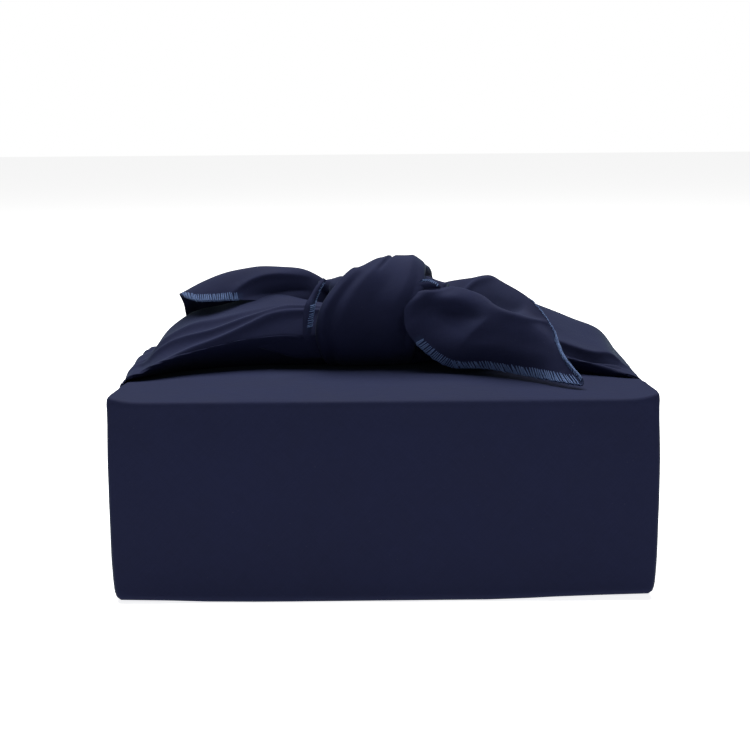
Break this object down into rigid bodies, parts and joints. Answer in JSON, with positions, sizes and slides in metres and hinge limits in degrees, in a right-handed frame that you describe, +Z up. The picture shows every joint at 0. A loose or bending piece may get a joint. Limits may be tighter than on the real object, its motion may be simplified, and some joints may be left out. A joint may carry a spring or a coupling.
{
  "type": "furoshiki-wrapped box",
  "caption": "Rectangular box wrapped in a plain square cloth: flaps folded flat over the lid, ears gathered up the end faces and tied in a square knot with free tails.",
  "frame": {"origin": "on the surface that the bundle stands on, under the middle of its bounding box", "axes": "+X along the box's length towards the end with the forward tail, +Y from the front face to the back, +Z up"},
  "size_m": [0.2872, 0.2012, 0.1698],
  "materials": {
    "navy_cloth": "smooth fine plain weave in dark navy with a faint soft sheen, its cut edges overlocked in light blue thread",
    "plain_board": "plain uncoated board, hidden by the cloth"
  },
  "bodies": {
    "root": {"furoshiki": "navy_cloth", "box": "plain_board"}
  },
  "joints": []
}
